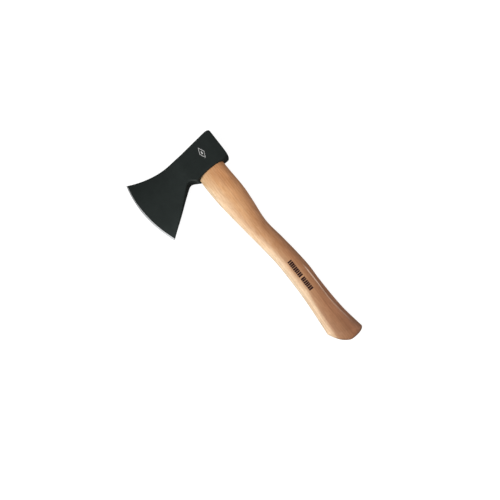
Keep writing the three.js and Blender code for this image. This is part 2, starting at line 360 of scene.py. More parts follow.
def head_bottom(x):
    """From the heel: the beard, the arc of the throat, the lug and the arched foot."""
    if x >= LUG_X:
        arch = max(0, ARCH_RISE * (1 - abs(x / ARCH_HALF_LENGTH) ** 3))
        return FOOT_SLOPE * x + arch + rounded_drop(x, POLL_X, POLL_BOTTOM_ROUND)
    beard_stretch = math.hypot(1, BEARD_SLOPE)
    lug_stretch = math.hypot(1, LUG_SLOPE)
    beard_at_zero = HEEL[1] - BEARD_SLOPE * HEEL[0]
    lug_at_zero = (FOOT_SLOPE - LUG_SLOPE) * LUG_X
    offset = THROAT_RADIUS * (beard_stretch - lug_stretch)
    centre_x = (lug_at_zero - beard_at_zero + offset) / (BEARD_SLOPE - LUG_SLOPE)
    centre_y = beard_at_zero + BEARD_SLOPE * centre_x - THROAT_RADIUS * beard_stretch
    throat_start = centre_x - THROAT_RADIUS * BEARD_SLOPE / beard_stretch
    if x < throat_start:
        share = (x - HEEL[0]) / (throat_start - HEEL[0])
        return beard_at_zero + BEARD_SLOPE * x - BEARD_BULGE * math.sin(math.pi * share) ** 2
    if x > centre_x - THROAT_RADIUS * LUG_SLOPE / lug_stretch:
        return lug_at_zero + LUG_SLOPE * x
    return centre_y + math.sqrt(THROAT_RADIUS**2 - (x - centre_x) ** 2)


# ---------------------------------------------------------------- the head

# steps around a section: along each cheek, each corner and each rim
SIDE_STEPS = 40
CORNER_STEPS = 6
RIM_STEPS = 6
END_CROWDING = 0.8  # how much closer the steps lie at both ends of a stretch
NO_BEVEL = -30.0  # stands for a depth far outside the bevel
HALVINGS = 26  # of the search for the ring that runs through a point

bevel_width = curve_through(BEVEL_WIDTH)


def bevel_share(height):
    """How far the ground bevel reaches from the edge."""
    return BEVEL_SHARE * bevel_width(height)


def edge_bow(share, height):
    """How far forward the bulge of the edge moves a point; it fades away at the root."""
    return 4 * EDGE_BULGE * (1 - share**2) * height * (1 - height)


def bit_point(share, height, z):
    """A point of the blade's front part; share 0 is on the cutting edge and 1 at the root."""
    top_x = lerp(TOE[0], BLADE_ROOT_X, share)
    bottom_x = lerp(HEEL[0], BLADE_ROOT_X, share)
    y = lerp(head_bottom(bottom_x), head_top(top_x), height)
    return Vector((lerp(bottom_x, top_x, height) - edge_bow(share, height), y, z))


def body_half(share):
    """Half the blade's thickness under the lacquer, at a share of the way to the root."""
    middle_x = lerp((TOE[0] + HEEL[0]) / 2, BLADE_ROOT_X, share) - edge_bow(share, 0.5)
    return half_thickness(middle_x)


def section_outline(bottom, top, half):
    """(y, z) around a rounded rectangle."""
    corner = min(HEAD_CORNER, half * CORNER_LIMIT)
    inner = half - corner
    outline = []

    def add_corner(y, z, start):
        for k in range(CORNER_STEPS + 1):
            angle = start + math.pi / 2 * k / CORNER_STEPS
            outline.append((y + corner * math.sin(angle), z + corner * math.cos(angle)))

    def add_line(a, b, count):
        for k in range(1, count):
            share = k / count
            eased = share - END_CROWDING * math.sin(2 * math.pi * share) / (2 * math.pi)
            outline.append((lerp(a[0], b[0], eased), lerp(a[1], b[1], eased)))

    add_line((bottom + corner, half), (top - corner, half), SIDE_STEPS)
    add_corner(top - corner, inner, 0)
    add_line((top, inner), (top, -inner), RIM_STEPS)
    add_corner(top - corner, -inner, math.pi / 2)
    add_line((top - corner, -half), (bottom + corner, -half), SIDE_STEPS)
    add_corner(bottom + corner, -inner, math.pi)
    add_line((bottom, -inner), (bottom, inner), RIM_STEPS)
    add_corner(bottom + corner, inner, math.pi * 3 / 2)
    return outline


def bit_ring(share_at, half):
    """A ring of the blade's front part, where share_at(height) says how far back it runs."""
    bottom = head_bottom(lerp(HEEL[0], BLADE_ROOT_X, share_at(0)))
    top = head_top(lerp(TOE[0], BLADE_ROOT_X, share_at(1)))
    ring = []
    for y, z in section_outline(bottom, top, half):
        height = (y - bottom) / (top - bottom)
        ring.append(bit_point(share_at(height), height, z))
    return ring


def body_ring(x):
    """A section of the head behind the blade, rounded off at the sides of the poll."""
    half = half_thickness(x) - rounded_drop(x, POLL_X, POLL_SIDE_ROUND)
    half = min(half, CHEEK - PRINT_RELIEF)
    outline = section_outline(head_bottom(x), head_top(x), half)
    return [Vector((x, y, z)) for y, z in outline]


def eye_half_sizes(share, gap):
    half_length = lerp(EYE_BOTTOM[0], EYE_TOP[0], share) - gap
    return half_length, lerp(EYE_BOTTOM[1], EYE_TOP[1], share) - gap


def superellipse(angle, squareness):
    """A point of an oval of unit size, squarer for a higher squareness."""
    power = 2 / squareness
    along = math.copysign(abs(math.cos(angle)) ** power, math.cos(angle))
    across = math.copysign(abs(math.sin(angle)) ** power, math.sin(angle))
    return along, across


def eye_ring(height_at, share, grow):
    """One ring of the eye, grown by `grow`, at the height height_at(x)."""
    half_length, half_width = eye_half_sizes(share, -grow)
    ring = []
    for k in range(EYE_SIDES):
        along, across = superellipse(2 * math.pi * k / EYE_SIDES, EYE_SQUARENESS)
        x = half_length * along
        ring.append(Vector((x, height_at(x), half_width * across)))
    return ring


def eye_cutter():
    """The eye with its two rims flared, so that they come out rounded."""
    rings = [eye_ring(lambda x: TOP_HEIGHT + EYE_OVERSHOOT, 1, EYE_LIP)]
    lip = [EYE_LIP * (1 - math.sin(a)) for a in steps(0, math.pi / 2, 4)]
    drop = [EYE_LIP * (1 - math.cos(a)) for a in steps(0, math.pi / 2, 4)]
    for grow, depth in zip(lip, drop):
        rings.append(eye_ring(lambda x, d=depth: head_top(x) - d, 1, grow))
    for grow, depth in reversed(list(zip(lip, drop))):
        rings.append(eye_ring(lambda x, d=depth: head_bottom(x) + d, 0, grow))
    rings.append(eye_ring(lambda x: -EYE_OVERSHOOT, 0, EYE_LIP))
    return loft_mesh("eye", rings)


def make_head():
    rings = []
    # the ground bevel, from the cutting edge back
    for t in (0, 0.12, HONED_WIDTH - 0.02, HONED_WIDTH + 0.02, 0.4, 0.6, 0.8, 0.97, 1):
        if t < HONED_WIDTH:
            rise = HONED_RISE * t / HONED_WIDTH
        else:
            rise = lerp(HONED_RISE, 1, (t - HONED_WIDTH) / (1 - HONED_WIDTH))
        half = lerp(EDGE_HALF, body_half(BEVEL_SHARE), rise)
        rings.append(bit_ring(lambda height, t=t: t * bevel_share(height), half))
    # the lacquered blade behind it
    for u in (0.006, 0.03, 0.07, 0.12, 0.18, 0.25, 0.33, 0.42, 0.52, 0.62, 0.72, 0.81, 0.9, 1):
        half = body_half(lerp(BEVEL_SHARE, 1, u))
        rings.append(bit_ring(lambda height, u=u: lerp(bevel_share(height), 1, u), half))
    # the body; its stations lie closest where the outline turns
    stations = steps(BLADE_ROOT_X + 1.5, LUG_X - 6, 28) + steps(LUG_X - 5, LUG_X, 8)
    stations += steps(LUG_X + 0.7, 22, 34) + [ARCH_HALF_LENGTH, 23, 24] + steps(25, 29, 5)
    reach = POLL_SIDE_ROUND[0]
    stations += [POLL_X - reach * (1 - math.sin(a)) for a in steps(0, math.pi / 2, 12)]
    rings += [body_ring(x) for x in stations]
    head = new_object("forged_head", loft_mesh("forged_head", rings))
    combine(head, eye_cutter(), "DIFFERENCE")
    float_attribute(head, "bevel_depth", bevel_depth)
    float_attribute(head, "lacquer_tone_with_painted_light", lacquer_tone_with_painted_light)
    float_attribute(head, "painted_glint_offset", painted_glint_offset)
    float_attribute(head, "painted_glint_strength", painted_glint_strength)
    shade(head, 50)
    return head


def lacquer_tone_with_painted_light(p):
    """Painted shade on the upper blade and painted light towards the heel, over the lacquer's even tone.
    """
    blade = smooth_step(-15, -55, p.x)
    lower = smooth_step(60, 8, p.y)
    heel = smooth_step(-8, -45, p.y)
    on_blade = lerp(BLADE_TOP_PAINTED_SHADE, BODY_TONE, lower) + HEEL_PAINTED_LIGHT * heel
    return lerp(BODY_TONE, on_blade, blade)


def painted_glint_offset(p):
    """Distance from the line of the painted highlight on the lug, in mm; negative below it."""
    way = (LUG_GLINT_END - LUG_GLINT_START).normalized()
    return way.x * (p.y - LUG_GLINT_START.y) - way.y * (p.x - LUG_GLINT_START.x)


def painted_glint_strength(p):
    """How strong the painted highlight on the lug is, against the way along its line."""
    line = LUG_GLINT_END - LUG_GLINT_START
    along = (Vector((p.x, p.y)) - LUG_GLINT_START).dot(line) / line.length_squared
    return smooth_step(-0.3, 0.9, along) * smooth_step(1.3, 1, along)


def bevel_depth(p):
    """How far a point lies inside the ground bevel's line, in mm; negative on the lacquer."""
    if p.x > BLADE_ROOT_X:
        return NO_BEVEL
    low, high = 0.0, 1.0
    for _ in range(HALVINGS):
        share = (low + high) / 2
        bottom_x = lerp(HEEL[0], BLADE_ROOT_X, share)
        top_x = lerp(TOE[0], BLADE_ROOT_X, share)
        bottom, top = head_bottom(bottom_x), head_top(top_x)
        height = clamp((p.y - bottom) / (top - bottom))
        x = lerp(bottom_x, top_x, height) - edge_bow(share, height)
        low, high = (share, high) if x < p.x else (low, share)
    return (bevel_share(height) - share) * (BLADE_ROOT_X - lerp(HEEL[0], TOE[0], height))


# ---------------------------------------------------------------- the handle


def ridge_strength(y):
    return smooth_step(*RIDGE_FADE_IN, y) * (1 - smooth_step(*RIDGE_FADE_OUT, y))


def painted_ridge_highlight(y):
    """How strong the painted highlight on the ridge is: most at its upper end."""
    lower = lerp(1, RIDGE_HIGHLIGHT_LOW, smooth_step(*RIDGE_HIGHLIGHT_DROP, y))
    return smooth_step(*RIDGE_HIGHLIGHT_START, y) * lower * ridge_strength(y)


def facet_painted_shade(p):
    """1 on the flat behind the ridge, where painted shade makes the wood darker and redder."""
    offset = p.x - ridge_x(p.y)
    facet_shade_share = smooth_step(*FACET_SHADE_START, offset) * (1 - smooth_step(*FACET_SHADE_END, offset))
    return facet_shade_share * ridge_strength(p.y)


def half_section(ridge_u, strength, squareness):
    """(along, across) from the belly to the back, with a facet behind the ridge."""

    def oval(u):
        return (1 - abs(u) ** squareness) ** (1 / squareness)

    def facet(u):
        share = (u - ridge_u) / (FACET_END - ridge_u)
        return lerp(oval(ridge_u), oval(FACET_END), share)

    ridge_angle = math.acos(ridge_u ** (squareness / 2))
    points = []
    for k in range(HANDLE_SIDES + 1):
        if k <= RIDGE_SIDE:
            angle = lerp(math.pi, ridge_angle, k / RIDGE_SIDE)
        else:
            angle = lerp(ridge_angle, 0, (k - RIDGE_SIDE) / (HANDLE_SIDES - RIDGE_SIDE))
        u, w = superellipse(angle, squareness)
        if ridge_u < u < FACET_END:
            w = lerp(w, min(w, facet(u)), strength)
        points.append((u, w))
    return points


def handle_ring(belly, back, half_width, ridge_u=0.65, strength=0.0):
    """A whole section between two points, with the ridge at ridge_u of the way out."""
    middle = (belly + back) / 2
    to_back = back - middle
    half = half_section(ridge_u, strength, handle_squareness(middle.y))
    ring = []
    for u, w in half:
        point = middle + to_back * u
        ring.append(Vector((point.x, point.y, half_width * w)))
    for u, w in reversed(half[1:-1]):
        point = middle + to_back * u
        ring.append(Vector((point.x, point.y, -half_width * w)))
    return ring


def tongue_rings():
    """What fills the eye, flush with the sloping top of the head."""
    rings = []
    for share in steps(1, 0, 5):
        half_length, half_width = eye_half_sizes(share, FIT_GAP)
        ring = []
        for k in range(EYE_SIDES):
            along, across = superellipse(2 * math.pi * k / EYE_SIDES, EYE_SQUARENESS)
            x = half_length * along
            level = lerp(head_top(-half_length), head_top(half_length), (along + 1) / 2)
            ring.append(Vector((x, share * level, half_width * across)))
        rings.append(ring)
    return rings


def shaft_ring(belly_y, back_y):
    """A section that cuts the handle's front at belly_y and its back at back_y."""
    belly = Vector((belly_x(belly_y), belly_y))
    back = Vector((back_x(back_y), back_y))
    y = (belly_y + back_y) / 2
    middle, reach = (belly.x + back.x) / 2, (back.x - belly.x) / 2
    ridge_u = clamp((ridge_x(y) - middle) / reach, 0.3, 0.9)
    return handle_ring(belly, back, handle_half_width(y), ridge_u, ridge_strength(y))


def knob_end_rings(belly, back):
    """Shrinking ovals that close the knob along its slanted outline."""

    def bend(a, b, c, t):
        return a * (1 - t) ** 2 + b * 2 * t * (1 - t) + c * t**2

    full = (back - belly).length
    width = HANDLE_HALF_WIDTH[-1][1]
    tip = Vector(KNOB_TIP)
    rings = []
    for t in (0.02, 0.05, 0.09, 0.14, 0.2, 0.28, 0.37, 0.46, 0.56, 0.66, 0.76, 0.86, 0.94):
        low = bend(belly, Vector(KNOB_BELLY_BEND), tip, t)
        high = bend(back, Vector(KNOB_BACK_BEND), tip, t)
        share = (high - low).length / full
        rings.append(handle_ring(low, high, width * share**KNOB_END_FULLNESS))
    return rings


def make_handle():
    rings = []
    for share in steps(1, 0, 12):
        half_length, half_width = eye_half_sizes(share, FIT_GAP)
        front = Vector((-half_length, share * head_top(-half_length)))
        back = Vector((half_length, share * head_top(half_length)))
        rings.append(handle_ring(front, back, half_width))
    rings += [shaft_ring(y, y) for y in steps(-2, KNOB_START_Y, 119)]
    belly_end, back_end = BELLY[-1][0], BACK[-1][0]
    for share in steps(0, 1, 28)[1:]:
        belly_y = lerp(KNOB_START_Y, belly_end, share)
        rings.append(shaft_ring(belly_y, lerp(KNOB_START_Y, back_end, share)))
    belly = Vector((belly_x(belly_end), belly_end))
    back = Vector((back_x(back_end), back_end))
    rings += knob_end_rings(belly, back)
    handle = new_object("hickory_handle", loft_mesh("hickory_handle", rings))
    combine(handle, wedge_mesh(WOOD_WEDGE, WEDGE_REACH, 0, FIT_GAP), "DIFFERENCE")
    slot = wedge_mesh(STEEL_WEDGE, STEEL_WEDGE_HALF_WIDTH, STEEL_WEDGE_TURN, FIT_GAP)
    combine(handle, slot, "DIFFERENCE")
    float_attribute(handle, "toward_back", toward_back)
    float_attribute(handle, "toward_knob", lambda p: clamp(-p.y / HANDLE_LENGTH))
    float_attribute(handle, "ridge_offset", lambda p: p.x - ridge_x(p.y))
    float_attribute(handle, "painted_ridge_highlight", lambda p: painted_ridge_highlight(p.y))
    float_attribute(handle, "facet", facet_painted_shade)
    shade(handle, 60)
    return handle


def toward_back(p):
    """0 at the belly and 1 at the back, less where the pale belly band of wood and painted light is wider.
    """
    y = max(p.y, BELLY[-1][0])
    low, high = belly_x(y), back_x(y)
    return clamp((p.x - low) / (high - low) - pale_wood_and_light_band(p.y))


# ---------------------------------------------------------------- the wedges


def wedge_mesh(sizes, half_width, turn, grow):
    """A tapered block, thick end up, standing in the eye. `grow` makes it larger all round."""
    top, tip, tip_y = sizes
    taper = (top - tip) / (TOP_HEIGHT - tip_y)
    low_y, high_y = tip_y - grow, TOP_HEIGHT + WEDGE_REACH
    reach = half_width + grow
    turned = Matrix.Rotation(turn, 3, "Y")
    corners = []
    for y in (low_y, high_y):
        half = tip + taper * (y - tip_y) + grow
        for along, across in SQUARE:
            corners.append(turned @ Vector((reach * along, y, half * across)))
    return block_mesh("wedge_block", corners)


def make_wood_wedge():
    wedge = new_object("hardwood_wedge", wedge_mesh(WOOD_WEDGE, WEDGE_REACH, 0, 0))
    combine(wedge, loft_mesh("tongue", tongue_rings()), "INTERSECT")
    slot = wedge_mesh(STEEL_WEDGE, STEEL_WEDGE_HALF_WIDTH, STEEL_WEDGE_TURN, FIT_GAP)
    combine(wedge, slot, "DIFFERENCE")
    round_edges(wedge, 0.2, 50)
    shade(wedge, 60)
    return wedge


def make_steel_wedge():
    block = wedge_mesh(STEEL_WEDGE, STEEL_WEDGE_HALF_WIDTH, STEEL_WEDGE_TURN, 0)
    wedge = new_object("cross_wedge", block)
    combine(wedge, loft_mesh("tongue", tongue_rings()), "INTERSECT")
    round_edges(wedge, 0.25, 50)
    shade(wedge, 60)
    return wedge


# ---------------------------------------------------------------- printed marks


def add_plate(bm, corners, thickness):
    """Adds a thin plate over four corners (in order, in mm), standing `thickness` deep."""
    top = [bm.verts.new(to_row(c)) for c in corners]
    low = [bm.verts.new(to_row(Vector(c) - Vector((0, 0, thickness)))) for c in corners]
    bm.faces.new(top)
    bm.faces.new(list(reversed(low)))
    for k in range(4):
        n = (k + 1) % 4
        bm.faces.new((top[k], low[k], low[n], top[n]))


def make_cheek_mark():
    """A plain lozenge outline with a bar in it, printed on the cheek."""
    centre, half_long, half_wide = Vector((5.3, 26.8)), 9.2, 4.0
    stroke = 0.66  # measured along the lozenge's short axis
    half_bar = (0.75, 2.2)
    bm = bmesh.new()
    outer = [(0, half_long), (half_wide, 0), (0, -half_long), (-half_wide, 0)]
    inner_scale = (half_wide - stroke) / half_wide

    def place(x, y):
        return (centre.x + x, centre.y + y, CHEEK)

    for k in range(4):
        a, b = outer[k], outer[(k + 1) % 4]
        c = (b[0] * inner_scale, b[1] * inner_scale)
        d = (a[0] * inner_scale, a[1] * inner_scale)
        add_plate(bm, [place(*a), place(*b), place(*c), place(*d)], CHEEK_MARK_DEPTH)
    bar = [place(half_bar[0] * x, half_bar[1] * y) for x, y in SQUARE]
    add_plate(bm, bar, CHEEK_MARK_DEPTH)
    return finish_mark("cheek_mark", bm)


def handle_surface_z(x, y):
    """Height of the handle's upper side at (x, y), away from the flat behind the ridge."""
    low, high = belly_x(y), back_x(y)
    u = (2 * x - low - high) / (high - low)
    power = handle_squareness(y)
    return handle_half_width(y) * (1 - abs(u) ** power) ** (1 / power)


MARK_START = Vector((8.6, -169.5))
MARK_END = Vector((9.3, -218.6))
MARK_HEIGHT = 6.6
# (start, end) of each bar along the mark, as a share of its length: two plain groups
MARK_BARS = (
    [(0.061 * k, 0.061 * k + (0.052 if k % 3 else 0.046)) for k in range(9)]
    + [(0.59 + 0.06 * k, 0.59 + 0.06 * k + (0.046 if k % 3 == 1 else 0.052)) for k in range(7)]
)


def make_handle_marks():
    """Two groups of plain upright bars printed along the grip."""
    along = MARK_END - MARK_START
    across = Vector((-along.y, along.x)).normalized() * MARK_HEIGHT / 2
    bm = bmesh.new()
    rows = 6
    for start, end in MARK_BARS:
        grid = []
        for share in (start, (start + end) / 2, end):
            line = []
            for k in range(rows + 1):
                p = MARK_START + along * share + across * (2 * k / rows - 1)
                lift = handle_surface_z(p.x, p.y) + PRINT_RELIEF
                line.append((p.x, p.y, lift))
            grid.append(line)
        add_patch(bm, grid, GRIP_MARK_DEPTH)
    return finish_mark("grip_marks", bm)


def add_patch(bm, grid, thickness):
    """Adds a thin curved plate over a grid of points."""
    top = [[bm.verts.new(to_row(p)) for p in line] for line in grid]
    down = Vector((0, 0, thickness))
    low = [[bm.verts.new(to_row(Vector(p) - down)) for p in line] for line in grid]
    rows, columns = len(grid), len(grid[0])
    for i in range(rows - 1):
        for j in range(columns - 1):
            bm.faces.new((top[i][j], top[i + 1][j], top[i + 1][j + 1], top[i][j + 1]))
            bm.faces.new((low[i][j], low[i][j + 1], low[i + 1][j + 1], low[i + 1][j]))
    rim = [(i, 0) for i in range(rows)] + [(rows - 1, j) for j in range(1, columns)]
    rim += [(i, columns - 1) for i in range(rows - 2, -1, -1)]
    rim += [(0, j) for j in range(columns - 2, 0, -1)]
    for k, (i, j) in enumerate(rim):
        m, n = rim[(k + 1) % len(rim)]
        bm.faces.new((top[i][j], low[i][j], low[m][n], top[m][n]))


def finish_mark(name, bm):
    bmesh.ops.recalc_face_normals(bm, faces=bm.faces)
    mesh = bpy.data.meshes.new(name)
    bm.to_mesh(mesh)
    bm.free()
    mesh.shade_smooth()
    mesh.set_sharp_from_angle(angle=math.radians(40))
    return new_object(name, mesh)


# ---------------------------------------------------------------- materials


class Nodes:
    """Builds one material's nodes; every call returns an output socket."""

    def __init__(self, name):
        self.material = bpy.data.materials.new(name)
        self.material.use_nodes = True
        self.tree = self.material.node_tree
        self.shader = self.tree.nodes["Principled BSDF"]
        self.object_point = self.tree.nodes.new("ShaderNodeTexCoord").outputs["Object"]

    def set(self, **values):
        for name, value in values.items():
            self.shader.inputs[name.replace("_", " ")].default_value = value

    def link(self, source, name):
        self.tree.links.new(source, self.shader.inputs[name])

    def put(self, socket, value):
        if isinstance(value, bpy.types.NodeSocket):
            self.tree.links.new(value, socket)
        else:
            socket.default_value = value

    def attribute(self, name):
        node = self.tree.nodes.new("ShaderNodeAttribute")
        node.attribute_name = name
        return node.outputs["Fac"]

    def stretched(self, scale, turn=(0, 0, 0), shift=(0, 0, 0)):
        node = self.tree.nodes.new("ShaderNodeMapping")
        node.inputs["Scale"].default_value = scale
        node.inputs["Rotation"].default_value = turn
        node.inputs["Location"].default_value = shift
        self.tree.links.new(self.object_point, node.inputs["Vector"])
        return node.outputs["Vector"]

    def noise(self, vector, scale=1.0, detail=3.0, roughness=0.5, distortion=0.0):
        node = self.tree.nodes.new("ShaderNodeTexNoise")
        self.tree.links.new(vector, node.inputs["Vector"])
        node.inputs["Scale"].default_value = scale
        node.inputs["Detail"].default_value = detail
        node.inputs["Roughness"].default_value = roughness
        node.inputs["Distortion"].default_value = distortion
        return node.outputs["Fac"]

    def rings(self, vector, scale, distortion, detail_scale):
        node = self.tree.nodes.new("ShaderNodeTexWave")
        node.wave_type = "RINGS"
        node.rings_direction = "Y"
        node.wave_profile = "SAW"
        self.tree.links.new(vector, node.inputs["Vector"])
        node.inputs["Scale"].default_value = scale
        node.inputs["Distortion"].default_value = distortion
        node.inputs["Detail"].default_value = 2
        node.inputs["Detail Scale"].default_value = detail_scale
        return node.outputs["Fac"]

    def ramp(self, value, *stops):
        """A colour ramp; each stop is (position, grey) or (position, (r, g, b))."""
        node = self.tree.nodes.new("ShaderNodeValToRGB")
        self.tree.links.new(value, node.inputs["Fac"])
        elements = node.color_ramp.elements
        while len(elements) < len(stops):
            elements.new(0.5)
        for element, (position, colour) in zip(elements, stops):
            if not isinstance(colour, tuple):
                colour = (colour, colour, colour)
            element.position = position
            element.color = (*colour, 1)
        return node.outputs["Color"]

    def math(self, operation, a, b):
        node = self.tree.nodes.new("ShaderNodeMath")
        node.operation = operation
        self.put(node.inputs[0], a)
        self.put(node.inputs[1], b)
        return node.outputs[0]

    def bell(self, name, shift, sharpness):
        """1 where the attribute plus the shift is zero, falling to 0 on both sides."""
        x = self.math("MULTIPLY", self.math("ADD", self.attribute(name), shift), sharpness)
        return self.math("POWER", math.e, self.math("MULTIPLY", self.math("MULTIPLY", x, x), -1.0))

    def mix(self, share, a, b, blend="MIX"):
        node = self.tree.nodes.new("ShaderNodeMix")
        node.data_type = "RGBA"
        node.blend_type = blend
        self.put(node.inputs["Factor"], share)
        for name, value in (("A", a), ("B", b)):
            socket = next(s for s in node.inputs if s.name == name and s.type == "RGBA")
            self.put(socket, (*value, 1) if isinstance(value, tuple) else value)
        return next(s for s in node.outputs if s.type == "RGBA")

    def bump(self, height, strength, distance, normal=None):
        node = self.tree.nodes.new("ShaderNodeBump")
        node.inputs["Strength"].default_value = strength
        node.inputs["Distance"].default_value = distance
        self.tree.links.new(height, node.inputs["Height"])
        if normal is not None:
            self.tree.links.new(normal, node.inputs["Normal"])
        return node.outputs["Normal"]


def lacquered_steel():
    """Satin black lacquer over forged steel, ground bright along the cutting edge."""
    n = Nodes("lacquered_steel")
    # the depth is in mm, so the lacquer ends within 0.16 mm
    ground = n.ramp(n.math("ADD", n.attribute("bevel_depth"), 0.5), (0.42, 0.0), (0.58, 1.0))
    scale_noise = n.noise(n.object_point, 90, 5, 0.6)
    fine_noise = n.noise(n.object_point, 1500, 3, 0.6)
    lacquer = n.ramp(scale_noise, (0.3, (0.0173, 0.0218, 0.0208)), (0.72, (0.0214, 0.0269, 0.0256)))
    # the lacquer darkened by painted shade on the upper blade and lightened by painted light at the heel
    lacquer = n.mix(1.0, lacquer, n.attribute("lacquer_tone_with_painted_light"), "MULTIPLY")
    # a painted highlight along the lug's rounded edge
    lug_glint = n.math("MULTIPLY", n.bell("painted_glint_offset", 0.6, 1.7), n.attribute("painted_glint_strength"))
    lacquer = n.mix(lug_glint, lacquer, (0.036, 0.040, 0.038))
    grind = n.noise(n.stretched((260, 9000, 2600), turn=(0, 0, 0.09)), 1.0, 2, 0.6)
    steel = n.ramp(grind, (0.25, (0.50, 0.51, 0.52)), (0.75, (0.66, 0.67, 0.68)))
    n.link(n.mix(ground, lacquer, steel), "Base Color")
    n.link(ground, "Metallic")
    satin = n.ramp(scale_noise, (0.25, 0.66), (0.75, 0.76))
    n.link(n.mix(ground, satin, n.ramp(grind, (0.2, 0.26), (0.8, 0.4))), "Roughness")
    n.set(Specular_IOR_Level=0.1)
    rough = n.bump(scale_noise, 0.25, 0.0006)
    pebbles = n.bump(fine_noise, 0.12, 0.00012, rough)
    n.link(n.bump(grind, 0.05, 0.00004, pebbles), "Normal")
    return n.material


def hickory():
    """Varnished hickory: pale sapwood at the belly, browner heartwood towards the back, with painted light
    in the pale belly band.
    """
    n = Nodes("varnished_hickory")
    toward_knob = n.attribute("toward_knob")
    rings = n.rings(
        n.stretched((1, 0.10, 1), turn=(0.03, 0, 0.02), shift=(0.055, 0, -0.045)), 105, 4.5, 26
    )
    streaks = n.noise(n.stretched((330, 22, 330)), 1.0, 4, 0.62, 0.4)
    broad = n.noise(n.stretched((60, 9, 60)), 1.0, 3, 0.5, 0.6)
    fibres = n.noise(n.stretched((2100, 42, 2100)), 1.0, 3, 0.6)
    pores = n.ramp(n.noise(n.stretched((3000, 130, 3000)), 1.0, 1, 0.5), (0.66, 0.0), (0.74, 1.0))

    # pale to brown across the handle, in one way near the head and in another near the knob: sapwood and
    # heartwood, with painted light in the pale belly band and a painted rim light on the back edge near
    # the knob
    wander = n.math("MULTIPLY", n.math("SUBTRACT", broad, 0.5), 0.4)
    side = n.math("ADD", n.attribute("toward_back"), wander)
    by_head = n.ramp(
        side,
        (0.0, (0.548, 0.432, 0.308)),
        (0.09, (0.58, 0.425, 0.285)),
        (0.40, (0.54, 0.32, 0.170)),
        (0.70, (0.46, 0.235, 0.110)),
        (1.0, (0.435, 0.21, 0.098)),
    )
    by_knob = n.ramp(
        side,
        (0.0, (0.505, 0.40, 0.294)),
        (0.12, (0.54, 0.395, 0.27)),
        (0.28, (0.30, 0.160, 0.088)),
        (0.70, (0.24, 0.109, 0.056)),
        # painted rim light: the back edge paler than the middle
        (1.0, (0.305, 0.145, 0.083)),
    )
    down = n.math("ADD", toward_knob, n.math("MULTIPLY", wander, 0.5))
    tone = n.mix(n.ramp(down, (0.12, 0.0), (0.45, 0.62), (0.9, 1.0)), by_head, by_knob)

    # painted shadow just under the head, darker at the end of the knob, and painted shade on the flat
    # behind the ridge
    head_shadow_reach = n.ramp(toward_knob, (0.03, 1.0), (0.12, 0.0))
    # painted shadow from the head, strongest on the belly side
    painted_head_shadow = n.ramp(side, (0.15, (0.84, 0.76, 0.66)), (0.6, (0.96, 0.92, 0.92)), (0.9, (1.0, 1.0, 1.0)))
    tone = n.mix(head_shadow_reach, tone, painted_head_shadow, "MULTIPLY")
    end_of_knob = n.ramp(toward_knob, (0.88, 0.0), (0.96, 1.0))
    at_knob = n.mix(1.0, n.ramp(side, (0.15, 0.0), (0.35, 1.0)), end_of_knob, "MULTIPLY")
    tone = n.mix(at_knob, tone, (0.86, 0.85, 0.84), "MULTIPLY")
    # painted shade, darker and redder, on the flat behind the ridge
    tone = n.mix(n.attribute("facet"), tone, (0.98, 0.87, 0.82), "MULTIPLY")

    # the wood's figure, from broad growth rings to single pores
    figure = n.ramp(rings, (0.0, (0.92, 0.88, 0.83)), (0.7, (1.04, 1.04, 1.03)), (1.0, (0.95, 0.92, 0.9)))
    tone = n.mix(1.0, tone, figure, "MULTIPLY")
    lines = n.ramp(n.noise(n.stretched((420, 6, 420)), 1.0, 2, 0.6), (0.36, 0.88), (0.52, 1.03))
    tone = n.mix(n.ramp(toward_knob, (0.62, 0.25), (0.8, 1.0)), tone, lines, "MULTIPLY")
    tone = n.mix(1.0, tone, n.ramp(streaks, (0.3, 0.92), (0.7, 1.05)), "MULTIPLY")
    flames = n.noise(n.stretched((210, 34, 210), turn=(0, 0, 0.06), shift=(1, 4, 2)), 1.0, 2, 0.55, 1.8)
    flames = n.ramp(flames, (0.36, (0.94, 0.89, 0.82)), (0.5, (1.0, 1.0, 1.0)), (0.64, (1.05, 1.07, 1.08)))
    tone = n.mix(n.ramp(toward_knob, (0.4, 1.0), (0.75, 0.3)), tone, flames, "MULTIPLY")
    blotches = n.noise(n.stretched((150, 55, 150), shift=(3, 1, 2)), 1.0, 3, 0.6, 0.8)
    blotches = n.ramp(blotches, (0.3, (0.90, 0.87, 0.84)), (0.7, (1.06, 1.06, 1.04)))
    tone = n.mix(1.0, tone, blotches, "MULTIPLY")
    tone = n.mix(1.0, tone, n.ramp(fibres, (0.3, 0.94), (0.7, 1.04)), "MULTIPLY")
    tone = n.mix(n.math("MULTIPLY", pores, 0.25), tone, (0.16, 0.075, 0.035))

    # a painted highlight along the ridge
    ridge_highlight_mask = n.math("MULTIPLY", n.bell("ridge_offset", 0.15, 1.6), n.attribute("painted_ridge_highlight"))
    tone = n.mix(n.math("MULTIPLY", ridge_highlight_mask, 0.8), tone, (0.86, 0.61, 0.47))
    n.link(tone, "Base Color")

    # the varnish
    n.link(n.ramp(streaks, (0.3, 0.42), (0.7, 0.52)), "Roughness")
    n.set(Specular_IOR_Level=0.3, Coat_Weight=0.35, Coat_Roughness=0.3, Coat_IOR=1.5)
    grain = n.bump(fibres, 0.10, 0.00015)
    n.link(n.bump(pores, -0.15, 0.0001, grain), "Normal")
    return n.material


